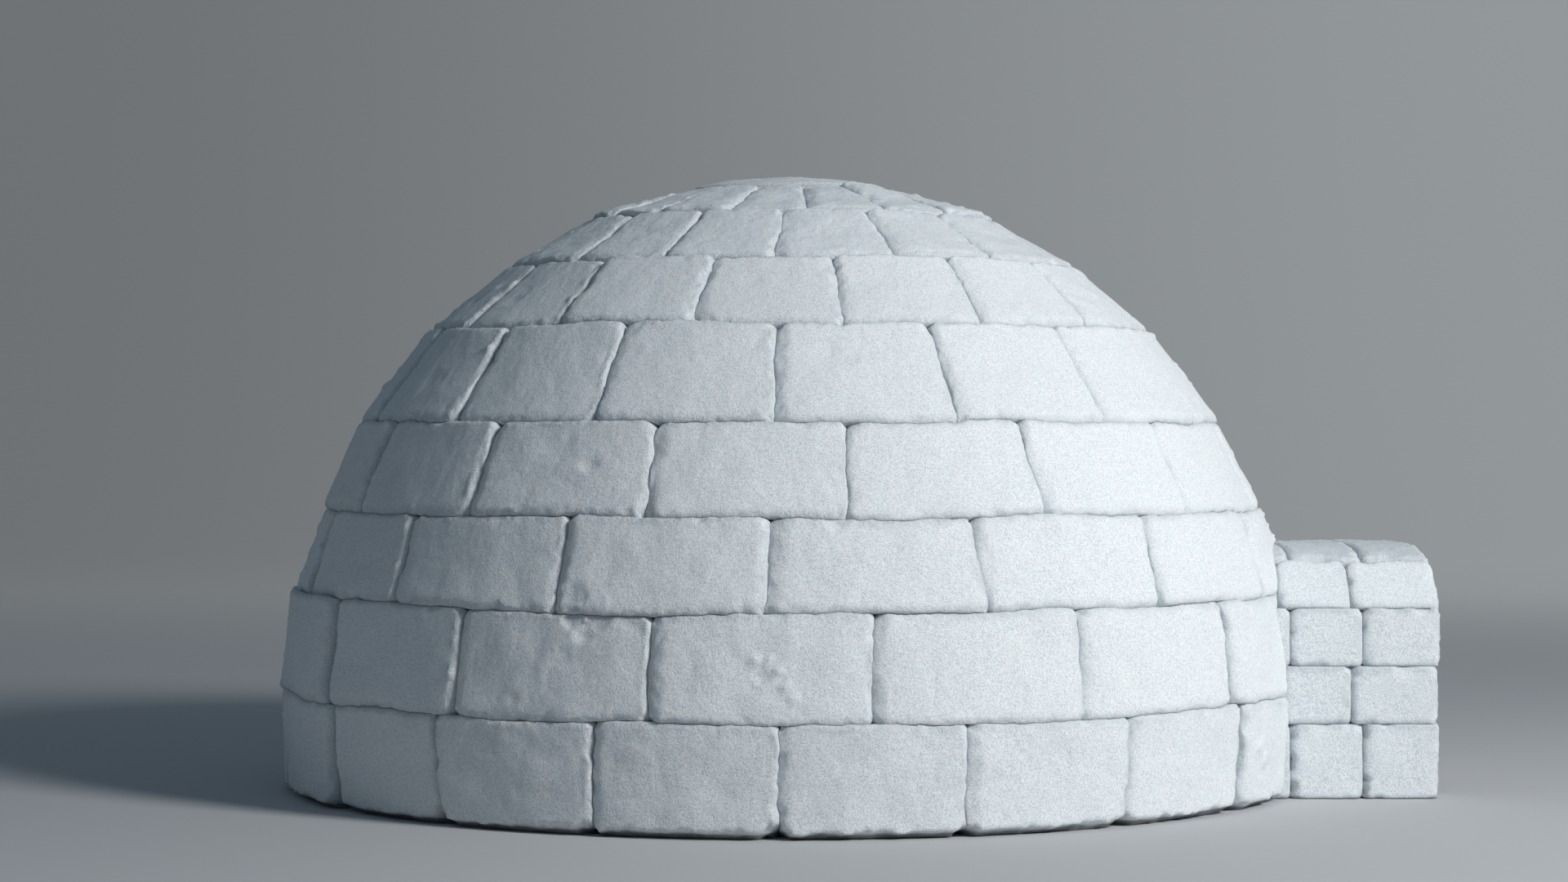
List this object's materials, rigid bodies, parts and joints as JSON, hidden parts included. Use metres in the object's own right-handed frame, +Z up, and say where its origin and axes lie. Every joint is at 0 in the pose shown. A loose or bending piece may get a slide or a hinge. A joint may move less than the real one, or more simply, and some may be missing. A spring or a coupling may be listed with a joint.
{
  "type": "igloo",
  "caption": "Hollow snow dome of staggered block courses closed by a king block, entered on hands and knees through a low vaulted block tunnel",
  "frame": {"origin": "on the ground, under the middle of the plan of dome and tunnel together", "axes": "+X runs out through the mouth of the tunnel, along the longest side of the plan; +Y is level, across the tunnel; +Z is up, the shortest extent"},
  "size_m": [4.4597, 3.9956, 2.405],
  "materials": {
    "snow": "frosted"
  },
  "bodies": {
    "root": {"dome_course_1": "snow", "dome_course_2": "snow", "dome_course_3": "snow", "dome_course_4": "snow", "dome_course_5": "snow", "dome_course_6": "snow", "dome_course_7": "snow", "dome_course_8": "snow", "dome_king_block": "snow", "doorway_base_block_left": "snow", "doorway_base_block_right": "snow", "doorway_crown_block": "snow", "doorway_haunch_block_left": "snow", "doorway_haunch_block_right": "snow", "doorway_middle_block_left": "snow", "doorway_middle_block_right": "snow", "doorway_upper_block_left": "snow", "doorway_upper_block_right": "snow", "mouth_base_block_left": "snow", "mouth_base_block_right": "snow", "mouth_crown_block": "snow", "mouth_haunch_block_left": "snow", "mouth_haunch_block_right": "snow", "mouth_middle_block_left": "snow", "mouth_middle_block_right": "snow", "mouth_upper_block_left": "snow", "mouth_upper_block_right": "snow", "passage_base_block_left": "snow", "passage_base_block_right": "snow", "passage_crown_block": "snow", "passage_haunch_block_left": "snow", "passage_haunch_block_right": "snow", "passage_middle_block_left": "snow", "passage_middle_block_right": "snow", "passage_upper_block_left": "snow", "passage_upper_block_right": "snow"}
  },
  "joints": []
}
